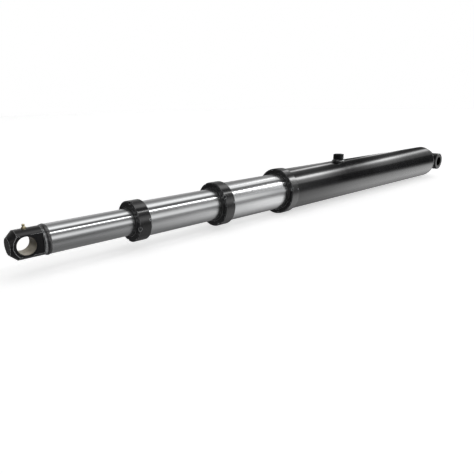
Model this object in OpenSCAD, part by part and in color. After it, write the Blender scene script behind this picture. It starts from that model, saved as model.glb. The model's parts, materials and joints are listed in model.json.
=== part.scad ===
// Telescopic hydraulic cylinder: a barrel, two hollow stages and a plunger.
// +X points from the base cross tube to the rod eye, +Z to the oil port, and Y is the pin direction.
// The origin is the centre of the base pin bore. Sizes are in millimetres.
// The stages are drawn part way out.

/* [Tubes] */
// Outside diameter of the plunger
plunger_od = 60; // [56:1:64]
// Step in outside diameter from one tube to the next
step_od = 20; // [20:0.5:22]
// Wall of the barrel and of the two stages
tube_wall = 6; // [5.5:0.1:6]
// Wall of the plunger
plunger_wall = 8; // [6:0.5:10]
// Rear end of the barrel tube, measured from the base pin
barrel_rear = 50; // [46:1:54]
// Front face of the barrel head nut, measured from the base pin
barrel_front = 966; // [850:1:1000]

/* [Extension as drawn] */
// Distance that stage 1 is drawn out of the barrel
stage_1_out = 199; // [0:1:700]
// Distance that stage 2 is drawn out of stage 1
stage_2_out = 197; // [0:1:700]
// Distance that the plunger is drawn out of stage 2
plunger_out = 171; // [0:1:700]

/* [Gland nuts] */
// Outside diameter of the barrel head nut
head_nut_od = 130; // [128:1:136]
// Length of the barrel head nut
head_nut_len = 30; // [25:1:32]
// Outside diameter of a stage gland nut beyond its own tube
gland_nut_step = 12; // [10:1:14]
// Length of a stage gland nut
gland_nut_len = 32; // [24:1:34]
// Gap between one nut and the next with the cylinder closed
nut_gap = 10; // [6:1:20]
// Width of a spanner notch
notch_w = 8; // [6:1:12]

/* [Guides] */
// Length of the guide bush in the barrel head; each further one is 5 mm shorter
guide_len = 50; // [40:1:60]
// Length of the bearing ring at the foot of each moving tube
bearing_len = 22; // [18:1:26]
// Radial running clearance of guides, bearings and seals
running_gap = 0.1; // [0.05:0.01:0.1]

/* [Oil port] */
// Distance of the port behind the barrel's front face
port_back = 311; // [120:1:500]
// Outside diameter of the port boss
port_od = 34; // [30:1:40]
// Height of the port boss above the barrel wall
port_height = 21; // [20:1:26]
// Minor diameter of the port thread
port_thread_d = 18.6; // [14:0.1:20]

/* [Pin mounts] */
// Diameter of both pin bores
pin_d = 35; // [30:1:36]
// Wall of the pin bushes
bush_wall = 2; // [1.5:0.5:2]
// Outside diameter of the base cross tube
cross_tube_od = 65; // [60:1:70]
// Length of the base cross tube
cross_tube_len = 117; // [110:1:130]
// Diameter of the round bar that the rod eye is made from
eye_bar_d = 58; // [57:0.5:58.5]
// Thickness of the rod eye between its flats
eye_thick = 42; // [40:1:43]
// Reach of the eye nose beyond the pin centre
eye_nose = 28; // [27:1:34]
// Length of the cone turned on the eye nose
eye_cone = 13; // [8:1:14]

/* [Hidden] */
$fn = 96;

// Tube numbers: 0 is the barrel, 1 and 2 are the stages, and 3 is the plunger.
plunger = 3;

// Clearances
steel_gap = 0.4;      // radial gap where steel passes chrome
side_gap = 0.3;       // axial gap on each side of a bearing ring
stop_gap = 0.5;       // axial gap left at each end of a stroke
cut = 1;              // overrun of a cutting shape past the face that it cuts

// Welds: a V between two bevelled ends, with a low crown
weld_bevel = 5;
weld_root = 1;
weld_crown = 1.2;

// Base cap
cap_r = 52.5;         // flange behind the weld
cap_back = 20;        // rear face, from the pin centre
cap_spigot = 16;      // length inside the barrel
cap_front = barrel_rear + cap_spigot;
cap_chamfer = 4;
cap_weld_leg = 6.5;   // leg of the fillet along the flange
saddle_leg = 9;       // leg of the fillet along the cap
saddle_reach = 36;    // half length of the fillets along the cross tube

// Gland nut interior, measured back from the front face
lip_len = 1.2;        // front lip that holds the wiper
wiper_end = 5.2;
seal_start = 6.7;
seal_end = 11.7;
seat_depth = 13.5;    // face that bears on the tube end and the guide bush
lip_rise = 2.6;       // radial heights above the chrome
wiper_rise = 4.6;
seal_rise = 5;
thread_depth = 2;     // tube end turned down for the nut
nut_chamfer = 1.8;
notch_depth = 4;
notch_len = 5;
notch_count = 4;
notch_turn = [78, 62, 12];
guide_step = 5;

// O-ring in the tube end, under the nut
oring_d = 2;
oring_slot = 2.6;
oring_back = 1.5;     // land between the groove and the tube end

// Lock screw, measured forward from the rear face of the nut
screw_d = 5;
screw_forward = 3.5;
screw_sunk = 1;
screw_key = 2.5;
screw_key_depth = 2.5;
screw_turn = 80;      // from the top, towards +Y

// Foot of a moving tube, measured forward from its end
tube_chamfer = 1;
inner_stop_from = 2;
inner_stop_len = 3;
inner_stop_front = inner_stop_from + inner_stop_len;
inner_stop_cut = 1.5;
inner_stop_rise = 6.5;
retaining_from = 4;
retaining_len = 2.2;
retaining_cut = 1;
retaining_rise = 2;
bearing_from = retaining_from + retaining_len + side_gap;
stop_from = bearing_from + bearing_len + side_gap;
stop_len = 6;
stop_cut = 1.5;
stop_rise = 3.4;
split_w = 2;          // gap of a split ring
slot_w = 7;           // oil slot in a bearing ring
slot_depth = 2;
slot_count = 6;

// End plug of the plunger
plug_from = 3;
plug_len = 26;
plug_oring_from = 15;
plug_oring_slot = 3.6;
plug_oring_d = 3;
plug_pin_d = 6;
plug_pin_depth = 8;
plug_pin_r = 13;

// Rod eye, measured back from the pin centre
eye_gap = 8;          // chrome showing between nut 2 and the weld, closed
eye_offset = 43;      // pin centre to the start of the weld
eye_weld_bevel = 4;
eye_root = eye_offset - eye_weld_bevel;
eye_shoulder = eye_root - eye_weld_bevel;
eye_flat_start = 32;
eye_shoulder_r = 29.5;
eye_neck_r = 27.8;
eye_neck_len = 1.2;
eye_spigot_len = 20;
eye_nose_r = 17;
eye_bush_len = 40;

// Cross tube bushes
base_bush_len = 48;
base_bush_sunk = 1;
cross_tube_chamfer = 2;

// Oil port
port_thread_len = 18;
port_mouth = 1;       // chamfer at the mouth of the thread
oil_way_d = 12;
port_weld_leg = 7;
port_weld_slope = 0.7;
port_chamfer = 1.2;

// Grease nipples
nipple_shank_d = 6;
nipple_shank_len = 6;
nipple_hex = 8;
nipple_hex_len = 3.2;
nipple_neck_top = 5.6;
nipple_head_z = 6.9;
nipple_head_r = 2.8;
nipple_seat_r = 6;
nipple_seat_depth = 1;
grease_way_d = 3;
rod_nipple_x = -5;    // from the pin centre, forwards

// Radii and places worked out from the sizes above
function tube_r(i) = plunger_od / 2 + (plunger - i) * step_od / 2;
function bore_r(i) = tube_r(i) - (i == plunger ? plunger_wall : tube_wall);
function thread_r(i) = tube_r(i) - thread_depth;
function nut_r(i) = i == 0 ? head_nut_od / 2 : tube_r(i) + gland_nut_step / 2;
function nut_len(i) = i == 0 ? head_nut_len : gland_nut_len;
function shift(i) = (i > 0 ? stage_1_out : 0) + (i > 1 ? stage_2_out : 0) + (i > 2 ? plunger_out : 0);
function closed_head(i) = i == 0 ? barrel_front : closed_head(i - 1) + nut_gap + nut_len(i);
function head_x(i) = closed_head(i) + shift(i);
function seat_x(i) = head_x(i) - seat_depth;
function nut_rear(i) = head_x(i) - nut_len(i);
function closed_foot(i) = (i == 1 ? cap_front : closed_foot(i - 1) + inner_stop_front) + stop_gap;
function foot_x(i) = closed_foot(i) + shift(i);

eye_x = closed_head(2) + eye_gap + eye_offset + shift(plunger);
bush_r = pin_d / 2 + bush_wall;
port_x = barrel_front - port_back;
port_top = tube_r(0) + port_height;

// A solid turned about the X axis, from a closed list of [x, radius] points
module turned(profile)
    rotate([0, 90, 0])
        rotate_extrude()
            polygon([for (p = profile) [p[1], p[0]]]);

// A plain ring about the X axis
module ring_x(x, len, r_in, r_out)
    turned([[x, r_in], [x + len, r_in], [x + len, r_out], [x, r_out]]);

// A ring with one gap cut through it at the bottom
module split_ring(x, len, r_in, r_out)
    difference() {
        ring_x(x, len, r_in, r_out);
        translate([x - cut, -split_w / 2, -r_out - cut])
            cube([len + 2 * cut, split_w, r_out - r_in + 2 * cut]);
    }

// A rod along the Y axis
module rod_y(r, len)
    rotate([90, 0, 0])
        cylinder(r = r, h = len, center = true);

// A tube along the Y axis, bevelled at both ends
module tube_y(r_in, r_out, len, bevel)
    rotate([90, 0, 0])
        rotate_extrude()
            polygon([
                [r_in, -len / 2], [r_out - bevel, -len / 2], [r_out, -len / 2 + bevel],
                [r_out, len / 2 - bevel], [r_out - bevel, len / 2], [r_in, len / 2]
            ]);

// Places a shape that points along +Z on the tube wall, turned from the top towards +Y
module around(x, angle)
    translate([x, 0, 0])
        rotate([-angle, 0, 0])
            children();

// Grease nipple standing on z = 0
module grease_nipple()
    color("goldenrod")
        difference() {
            union() {
                translate([0, 0, -nipple_shank_len])
                    cylinder(d = nipple_shank_d, h = nipple_shank_len + cut);
                cylinder(d = nipple_hex / cos(30), h = nipple_hex_len, $fn = 6);
                cylinder(r1 = nipple_hex / 2, r2 = nipple_head_r - 0.8, h = nipple_neck_top);
                translate([0, 0, nipple_head_z])
                    sphere(r = nipple_head_r);
            }
            translate([0, 0, nipple_head_z])
                cylinder(d = 1.4, h = nipple_head_r + cut);
        }

// Hole and seat for a grease nipple whose seat is at z = 0
module nipple_hole(depth) {
    translate([0, 0, -nipple_shank_len])
        cylinder(d = nipple_shank_d, h = nipple_shank_len + cut);
    translate([0, 0, -depth])
        cylinder(d = grease_way_d, h = depth);
    cylinder(r = nipple_seat_r, h = 2 * nipple_seat_depth + cut);
}

// Gland nut on tube i: holds the wiper and the seal, and bears on the tube end and the guide bush
module gland_nut(i) {
    r = tube_r(i + 1);
    front = head_x(i);
    rear = nut_rear(i);
    color("#1c1c1e")
        difference() {
            turned([
                [rear, thread_r(i)], [seat_x(i), thread_r(i)], [seat_x(i), r + steel_gap],
                [front - seal_end, r + steel_gap], [front - seal_end, r + seal_rise],
                [front - seal_start, r + seal_rise], [front - seal_start, r + steel_gap],
                [front - wiper_end, r + steel_gap], [front - wiper_end, r + wiper_rise],
                [front - lip_len, r + wiper_rise], [front - lip_len, r + lip_rise],
                [front, r + lip_rise], [front, nut_r(i) - nut_chamfer],
                [front - nut_chamfer, nut_r(i)], [rear + nut_chamfer, nut_r(i)],
                [rear, nut_r(i) - nut_chamfer]
            ]);
            for (k = [0 : notch_count - 1])
                around(front, notch_turn[i] + k * 360 / notch_count)
                    translate([-notch_len, -notch_w / 2, nut_r(i) - notch_depth])
                        cube([notch_len + cut, notch_w, notch_depth + cut]);
            around(rear + screw_forward, screw_turn)
                cylinder(d = screw_d, h = nut_r(i) + cut);
        }
}

// Grub screw that locks gland nut i on its thread
module lock_screw(i)
    color("#3a3a3c")
        around(nut_rear(i) + screw_forward, screw_turn)
            difference() {
                translate([0, 0, thread_r(i)])
                    cylinder(d = screw_d, h = nut_r(i) - thread_r(i) - screw_sunk);
                translate([0, 0, nut_r(i) - screw_sunk - screw_key_depth])
                    cylinder(d = screw_key / cos(30), h = screw_key_depth + cut, $fn = 6);
            }

// Guide bush pressed into the mouth of tube i; it takes the stop load at full stroke
module guide_bush(i) {
    len = guide_len - guide_step * i;
    color("#b08d57")
        ring_x(seat_x(i) - len, len, tube_r(i + 1) + running_gap, bore_r(i));
}

// U-cup seal of tube i, open towards the oil
module u_seal(i) {
    low = tube_r(i + 1) + running_gap;
    high = tube_r(i + 1) + seal_rise;
    rear = head_x(i) - seal_end;
    front = head_x(i) - seal_start;
    lip = 1.2;
    color("#2e4f8a")
        turned([
            [rear, low], [front, low], [front, high], [rear, high], [rear, high - lip],
            [rear + 2 * lip, (low + high) / 2], [rear, low + lip]
        ]);
}

// Wiper of tube i, with a lip that stands out of the nut along the chrome
module wiper(i) {
    r = tube_r(i + 1);
    front = head_x(i);
    color("#252525")
        turned([
            [front - wiper_end, r + 0.6], [front - lip_len, r + running_gap],
            [front + 0.9, r + running_gap], [front + 0.3, r + 1.2], [front - lip_len, r + lip_rise - 0.2],
            [front - lip_len, r + wiper_rise], [front - wiper_end, r + wiper_rise]
        ]);
}

// Static O-ring between tube i and its nut
module head_oring(i)
    color("#151515")
        rotate([0, 90, 0])
            rotate_extrude()
                translate([thread_r(i) - oring_d / 2, seat_x(i) - oring_back - oring_slot / 2])
                    circle(d = oring_d, $fn = 24);

// Points of the mouth of tube i, from its bore outwards and back to the full outside
function mouth(i) = [
    [seat_x(i), bore_r(i)], [seat_x(i), thread_r(i)],
    [seat_x(i) - oring_back, thread_r(i)], [seat_x(i) - oring_back, thread_r(i) - oring_d],
    [seat_x(i) - oring_back - oring_slot, thread_r(i) - oring_d],
    [seat_x(i) - oring_back - oring_slot, thread_r(i)],
    [nut_rear(i), thread_r(i)], [nut_rear(i), tube_r(i)]
];

// Points of the foot of moving tube i, from the front groove back to the end
function foot(i) = [
    [foot_x(i) + stop_from + stop_len, tube_r(i)],
    [foot_x(i) + stop_from + stop_len, tube_r(i) - stop_cut],
    [foot_x(i) + stop_from, tube_r(i) - stop_cut], [foot_x(i) + stop_from, tube_r(i)],
    [foot_x(i) + retaining_from + retaining_len, tube_r(i)],
    [foot_x(i) + retaining_from + retaining_len, tube_r(i) - retaining_cut],
    [foot_x(i) + retaining_from, tube_r(i) - retaining_cut],
    [foot_x(i) + retaining_from, tube_r(i)],
    [foot_x(i) + tube_chamfer, tube_r(i)], [foot_x(i), tube_r(i) - tube_chamfer]
];

// Hollow chromed stage i, with a groove in its bore for the inner stop
module stage_tube(i)
    color("#d8dadd")
        turned(concat(mouth(i), foot(i), [
            [foot_x(i), bore_r(i)],
            [foot_x(i) + inner_stop_from, bore_r(i)],
            [foot_x(i) + inner_stop_from, bore_r(i) + inner_stop_cut],
            [foot_x(i) + inner_stop_front, bore_r(i) + inner_stop_cut],
            [foot_x(i) + inner_stop_front, bore_r(i)]
        ]));

// Ring in the bore of stage i that the next tube rests on when closed
module inner_stop(i)
    color("#6d7074")
        split_ring(foot_x(i) + inner_stop_from, inner_stop_len,
            bore_r(i) - inner_stop_rise, bore_r(i) + inner_stop_cut);

// Ring on moving tube i that meets the guide bush at full stroke
module stop_ring(i)
    color("#6d7074")
        split_ring(foot_x(i) + stop_from, stop_len, tube_r(i) - stop_cut, tube_r(i) + stop_rise);

// Wire ring that keeps the bearing ring on moving tube i
module retaining_ring(i)
    color("#55585c")
        split_ring(foot_x(i) + retaining_from, retaining_len,
            tube_r(i) - retaining_cut, tube_r(i) + retaining_rise);

// Bearing ring of moving tube i: slides in the bore of the tube outside it, and lets oil past
module bearing_ring(i)
    color("#c8a165")
        difference() {
            split_ring(foot_x(i) + bearing_from, bearing_len,
                tube_r(i) + running_gap, bore_r(i - 1) - running_gap);
            for (k = [0 : slot_count - 1])
                around(foot_x(i), k * 360 / slot_count)
                    translate([0, -slot_w / 2, bore_r(i - 1) - slot_depth])
                        cube([2 * bearing_len, slot_w, slot_depth + cut]);
        }

module barrel_tube()
    color("#1b1b1d")
        difference() {
            turned(concat(mouth(0), [
                [barrel_rear + weld_bevel, tube_r(0)],
                [barrel_rear, bore_r(0) + weld_root], [barrel_rear, bore_r(0)]
            ]));
            translate([port_x, 0, 0])
                cylinder(d = oil_way_d, h = tube_r(0) + cut);
        }

module base_cap()
    color("#222226")
        difference() {
            turned([
                [cap_back, 0], [cap_front, 0], [cap_front, bore_r(0)], [barrel_rear, bore_r(0)],
                [barrel_rear, bore_r(0) + weld_root], [barrel_rear - weld_bevel / 2, cap_r],
                [cap_back + cap_chamfer, cap_r], [cap_back, cap_r - cap_chamfer]
            ]);
            rod_y(cross_tube_od / 2, cross_tube_len);
        }

// Fillet from the bevelled end of the barrel down to the cap's smaller flange
module base_weld() {
    root = barrel_rear - weld_bevel / 2;
    color("#26262a")
        turned([
            [barrel_rear, bore_r(0) + weld_root], [barrel_rear + weld_bevel, tube_r(0)],
            [barrel_rear + weld_bevel / 2, tube_r(0) + weld_crown],
            [barrel_rear - 1, tube_r(0)], [root - cap_weld_leg / 3, (tube_r(0) + cap_r) / 2 + 1],
            [root - cap_weld_leg, cap_r], [root, cap_r]
        ]);
}

module base_cross_tube()
    color("#1b1b1d")
        difference() {
            tube_y(bush_r, cross_tube_od / 2, cross_tube_len, cross_tube_chamfer);
            rotate([0, -90, 0])
                translate([0, 0, cross_tube_od / 2 - nipple_seat_depth])
                    nipple_hole(cross_tube_od / 2 - bush_r);
        }

// Two fillets along the cross tube, above and below it, on the rear face of the cap
module cross_tube_weld() {
    r = cross_tube_od / 2;
    corner = sqrt(r * r - cap_back * cap_back);
    color("#26262a")
        for (side = [1, -1])
            difference() {
                rotate([90, 0, 0])
                    linear_extrude(2 * saddle_reach, center = true)
                        polygon([
                            [cap_back, side * (corner - 4)], [cap_back, side * (corner + saddle_leg)],
                            [cap_back - saddle_leg * 0.6, side * (corner + saddle_leg * 0.55)],
                            [cap_back - saddle_leg * 1.1, side * (corner + 1)],
                            [cap_back - saddle_leg, side * (corner - 4)]
                        ]);
                rod_y(r, cross_tube_len);
            }
}

module cross_tube_bushes()
    color("#b08d57")
        for (side = [1, -1])
            translate([0, side * (cross_tube_len / 2 - base_bush_sunk - base_bush_len / 2), 0])
                tube_y(pin_d / 2, bush_r, base_bush_len, 0);

module base_grease_nipple()
    translate([-cross_tube_od / 2 + nipple_seat_depth, 0, 0])
        rotate([0, -90, 0])
            grease_nipple();

module port_boss()
    color("#1b1b1d")
        difference() {
            translate([port_x, 0, bore_r(0)])
                rotate_extrude()
                    polygon([
                        [0, 0], [port_od / 2, 0], [port_od / 2, port_top - bore_r(0) - port_chamfer],
                        [port_od / 2 - port_chamfer, port_top - bore_r(0)], [0, port_top - bore_r(0)]
                    ]);
            translate([port_x, 0, port_top - port_thread_len])
                cylinder(d = port_thread_d, h = port_thread_len + cut);
            translate([port_x, 0, port_top - port_mouth])
                cylinder(d1 = port_thread_d, d2 = port_thread_d + 4 * port_mouth, h = 2 * port_mouth);
            translate([port_x, 0, 0])
                cylinder(d = oil_way_d, h = port_top);
            rotate([0, 90, 0])
                cylinder(r = tube_r(0), h = barrel_front);
        }

// Fillet round the foot of the port boss, lying on the barrel
module port_weld() {
    low = port_od / 2;
    base_z = bore_r(0) - port_weld_leg;
    top_z = tube_r(0) + port_weld_leg;
    color("#26262a")
        difference() {
            translate([port_x, 0, base_z])
                cylinder(r1 = low + (top_z - base_z) * port_weld_slope, r2 = low, h = top_z - base_z);
            translate([port_x, 0, base_z - cut])
                cylinder(r = low, h = top_z - base_z + 2 * cut);
            rotate([0, 90, 0])
                cylinder(r = tube_r(0), h = barrel_front);
        }
}

module barrel_head_nut() gland_nut(0);
module barrel_guide_bush() guide_bush(0);
module barrel_seal() u_seal(0);
module barrel_wiper() wiper(0);
module barrel_head_oring() head_oring(0);
module barrel_lock_screw() lock_screw(0);

module stage_1_bearing() bearing_ring(1);
module stage_1_tube() stage_tube(1);
module stage_1_stop_ring() stop_ring(1);
module stage_1_retaining_ring() retaining_ring(1);
module stage_1_inner_stop() inner_stop(1);
module stage_1_gland_nut() gland_nut(1);
module stage_1_guide_bush() guide_bush(1);
module stage_1_seal() u_seal(1);
module stage_1_wiper() wiper(1);
module stage_1_oring() head_oring(1);
module stage_1_lock_screw() lock_screw(1);

module stage_2_bearing() bearing_ring(2);
module stage_2_tube() stage_tube(2);
module stage_2_stop_ring() stop_ring(2);
module stage_2_retaining_ring() retaining_ring(2);
module stage_2_inner_stop() inner_stop(2);
module stage_2_gland_nut() gland_nut(2);
module stage_2_guide_bush() guide_bush(2);
module stage_2_seal() u_seal(2);
module stage_2_wiper() wiper(2);
module stage_2_oring() head_oring(2);
module stage_2_lock_screw() lock_screw(2);

module plunger_bearing() bearing_ring(plunger);
module plunger_stop_ring() stop_ring(plunger);
module plunger_retaining_ring() retaining_ring(plunger);

module plunger_tube()
    color("#e0e2e5")
        turned(concat([
            [eye_x - eye_root, bore_r(plunger)],
            [eye_x - eye_root, tube_r(plunger) - eye_weld_bevel],
            [eye_x - eye_offset, tube_r(plunger)]
        ], foot(plunger), [[foot_x(plunger), bore_r(plunger)]]));

// Plug that closes the foot of the plunger, with two holes for a pin spanner
module plunger_end_plug() {
    x = foot_x(plunger) + plug_from;
    r = bore_r(plunger);
    groove = plug_oring_from;
    color("#8b8e92")
        difference() {
            turned([
                [x, 0], [x + plug_len, 0], [x + plug_len, r], [x + groove + plug_oring_slot, r],
                [x + groove + plug_oring_slot, r - plug_oring_d], [x + groove, r - plug_oring_d],
                [x + groove, r], [x, r]
            ]);
            for (side = [1, -1])
                translate([x - cut, side * plug_pin_r, 0])
                    rotate([0, 90, 0])
                        cylinder(d = plug_pin_d, h = plug_pin_depth + cut);
        }
}

module plunger_plug_oring()
    color("#151515")
        rotate([0, 90, 0])
            rotate_extrude()
                translate([
                    bore_r(plunger) - plug_oring_d / 2,
                    foot_x(plunger) + plug_from + plug_oring_from + plug_oring_slot / 2
                ])
                    circle(d = plug_oring_d, $fn = 24);

// Round bar with two flats, a cone-turned nose, a pin hole and a spigot inside the plunger
module rod_eye() {
    bar_r = eye_bar_d / 2;
    flat_x = eye_x - eye_flat_start;
    nose_x = eye_x + eye_nose;
    color("#1c1c1e")
        difference() {
            union() {
                turned([
                    [eye_x - eye_root - eye_spigot_len, 0], [flat_x, 0], [flat_x, eye_neck_r],
                    [flat_x - eye_neck_len, eye_neck_r], [flat_x - eye_neck_len, eye_shoulder_r],
                    [eye_x - eye_shoulder, eye_shoulder_r],
                    [eye_x - eye_root, tube_r(plunger) - eye_weld_bevel],
                    [eye_x - eye_root, bore_r(plunger)],
                    [eye_x - eye_root - eye_spigot_len, bore_r(plunger)]
                ]);
                intersection() {
                    turned([
                        [flat_x, 0], [nose_x, 0], [nose_x, eye_nose_r], [nose_x - eye_cone, bar_r],
                        [flat_x, bar_r]
                    ]);
                    translate([flat_x, -eye_thick / 2, -bar_r])
                        cube([nose_x - flat_x, eye_thick, eye_bar_d]);
                }
            }
            translate([eye_x, 0, 0])
                rod_y(bush_r, eye_bar_d);
            translate([eye_x + rod_nipple_x, 0, bar_r - nipple_seat_depth])
                nipple_hole(bar_r - pin_d / 2);
        }
}

// Bead between the plunger and the rod eye
module rod_eye_weld() {
    x = eye_x - eye_root;
    r = tube_r(plunger);
    color("#26262a")
        turned([
            [x, r - eye_weld_bevel], [x + eye_weld_bevel, eye_shoulder_r],
            [x + eye_weld_bevel / 2, r + weld_crown * 0.8], [x, r + weld_crown],
            [x - eye_weld_bevel / 2, r + weld_crown * 0.8], [x - eye_weld_bevel, r]
        ]);
}

module rod_eye_bush()
    color("#b08d57")
        difference() {
            translate([eye_x, 0, 0])
                tube_y(pin_d / 2, bush_r, eye_bush_len, 0);
            translate([eye_x + rod_nipple_x, 0, 0])
                cylinder(d = grease_way_d, h = bush_r + cut);
        }

module rod_grease_nipple()
    translate([eye_x + rod_nipple_x, 0, eye_bar_d / 2 - nipple_seat_depth])
        grease_nipple();

barrel_tube();
base_cap();
base_weld();
base_cross_tube();
cross_tube_weld();
cross_tube_bushes();
base_grease_nipple();
port_boss();
port_weld();
barrel_head_nut();
barrel_guide_bush();
barrel_seal();
barrel_wiper();
barrel_head_oring();
barrel_lock_screw();
stage_1_bearing();
stage_1_tube();
stage_1_stop_ring();
stage_1_retaining_ring();
stage_1_inner_stop();
stage_1_gland_nut();
stage_1_guide_bush();
stage_1_seal();
stage_1_wiper();
stage_1_oring();
stage_1_lock_screw();
stage_2_bearing();
stage_2_tube();
stage_2_stop_ring();
stage_2_retaining_ring();
stage_2_inner_stop();
stage_2_gland_nut();
stage_2_guide_bush();
stage_2_seal();
stage_2_wiper();
stage_2_oring();
stage_2_lock_screw();
plunger_bearing();
plunger_tube();
plunger_stop_ring();
plunger_retaining_ring();
plunger_end_plug();
plunger_plug_oring();
rod_eye();
rod_eye_weld();
rod_eye_bush();
rod_grease_nipple();
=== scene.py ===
"""Looks of the telescopic hydraulic cylinder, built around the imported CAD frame.

Metres, +X from the base pin to the rod eye, +Y along the pins, +Z up to the oil port.
"""

import json
import math

import bmesh
import bpy
from mathutils import Matrix, Vector


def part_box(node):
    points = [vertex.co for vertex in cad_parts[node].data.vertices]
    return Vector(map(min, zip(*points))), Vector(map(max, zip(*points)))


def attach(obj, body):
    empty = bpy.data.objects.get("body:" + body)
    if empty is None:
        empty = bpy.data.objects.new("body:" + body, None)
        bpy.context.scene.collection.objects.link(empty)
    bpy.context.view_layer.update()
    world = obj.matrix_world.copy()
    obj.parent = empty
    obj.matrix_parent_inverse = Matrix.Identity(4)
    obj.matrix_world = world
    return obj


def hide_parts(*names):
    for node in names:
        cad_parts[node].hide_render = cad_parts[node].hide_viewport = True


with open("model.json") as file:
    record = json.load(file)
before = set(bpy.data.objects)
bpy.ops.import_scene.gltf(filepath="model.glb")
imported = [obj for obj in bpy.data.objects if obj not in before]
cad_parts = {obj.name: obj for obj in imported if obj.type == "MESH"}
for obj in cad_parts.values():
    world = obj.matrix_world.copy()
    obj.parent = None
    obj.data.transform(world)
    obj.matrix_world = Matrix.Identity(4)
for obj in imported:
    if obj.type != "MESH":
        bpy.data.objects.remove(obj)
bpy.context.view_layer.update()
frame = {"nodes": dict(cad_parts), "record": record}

MM = 0.001
TURN = 2 * math.pi
FINE = 160        # steps round a large turned piece
SMALL = 64        # steps round a small turned piece


# ---------------------------------------------------------------- places, read from the frame

def span(node):
    """First and last X of a CAD node."""
    low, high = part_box(node)
    return low.x, high.x


def radius(node):
    """Largest radius of a CAD node that is turned about the X axis."""
    low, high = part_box(node)
    return max(high.y, high.z, -low.y, -low.z)


def mid_x(node):
    low, high = span(node)
    return (low + high) / 2


BARREL_R = radius("barrel_tube")
STAGE_R = {1: radius("stage_1_tube"), 2: radius("stage_2_tube")}
PLUNGER_R = radius("plunger_tube")
CROSS_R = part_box("base_cross_tube")[1].z
CROSS_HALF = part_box("base_cross_tube")[1].y
EYE_X = mid_x("rod_eye_bush")
PORT_X = mid_x("port_boss")
PORT_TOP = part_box("port_boss")[1].z
FLOOR_Z = -radius("barrel_head_nut")

# Sizes that the frame's boxes don't hold, as the CAD has them
WALL = 6 * MM
PLUNGER_WALL = 8 * MM
THREAD_STEP = 2 * MM
PIN_R = 17.5 * MM
BUSH_R = 19.5 * MM
WELD_BEVEL = 5 * MM
CAP_R = 52.5 * MM
CAP_CHAMFER = 4 * MM
CAP_WELD_LEG = 6.5 * MM
TUBE_CHAMFER = 1 * MM
CROSS_CHAMFER = 2 * MM
BUSH_LEN = 48 * MM
PORT_THREAD_R = 9.3 * MM
PORT_THREAD_LEN = 17 * MM
PORT_MOUTH = 1 * MM
OIL_WAY_R = 6 * MM
PAST = 5 * MM           # how far a cutting tool stands out of what it cuts


# ---------------------------------------------------------------- camera

CAMERA_AT = Vector((1.920, 0.852, 0.248))
CAMERA_TARGET = Vector((1.3544, 0.2496, 0.0004))
CAMERA_ROLL = math.radians(0.68)
CAMERA_LENS = 33.83
CAMERA_SHIFT_Y = -0.0023


def make_camera():
    forward = (CAMERA_TARGET - CAMERA_AT).normalized()
    right = forward.cross(Vector((0, 0, 1))).normalized()
    up = right.cross(forward)
    turn = Matrix.Rotation(CAMERA_ROLL, 3, forward)
    right, up = turn @ right, turn @ up
    data = bpy.data.cameras.new("camera")
    data.lens = CAMERA_LENS
    data.shift_y = CAMERA_SHIFT_Y
    data.clip_start = 0.01
    camera = bpy.data.objects.new("camera", data)
    axes = Matrix((right, up, -forward)).transposed()
    camera.matrix_world = Matrix.Translation(CAMERA_AT) @ axes.to_4x4()
    bpy.context.scene.collection.objects.link(camera)
    bpy.context.scene.camera = camera


# ---------------------------------------------------------------- node helpers

NOISE_LOW, NOISE_HIGH = 0.3, 0.7        # nearly all of a noise texture's values lie between these


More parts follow.
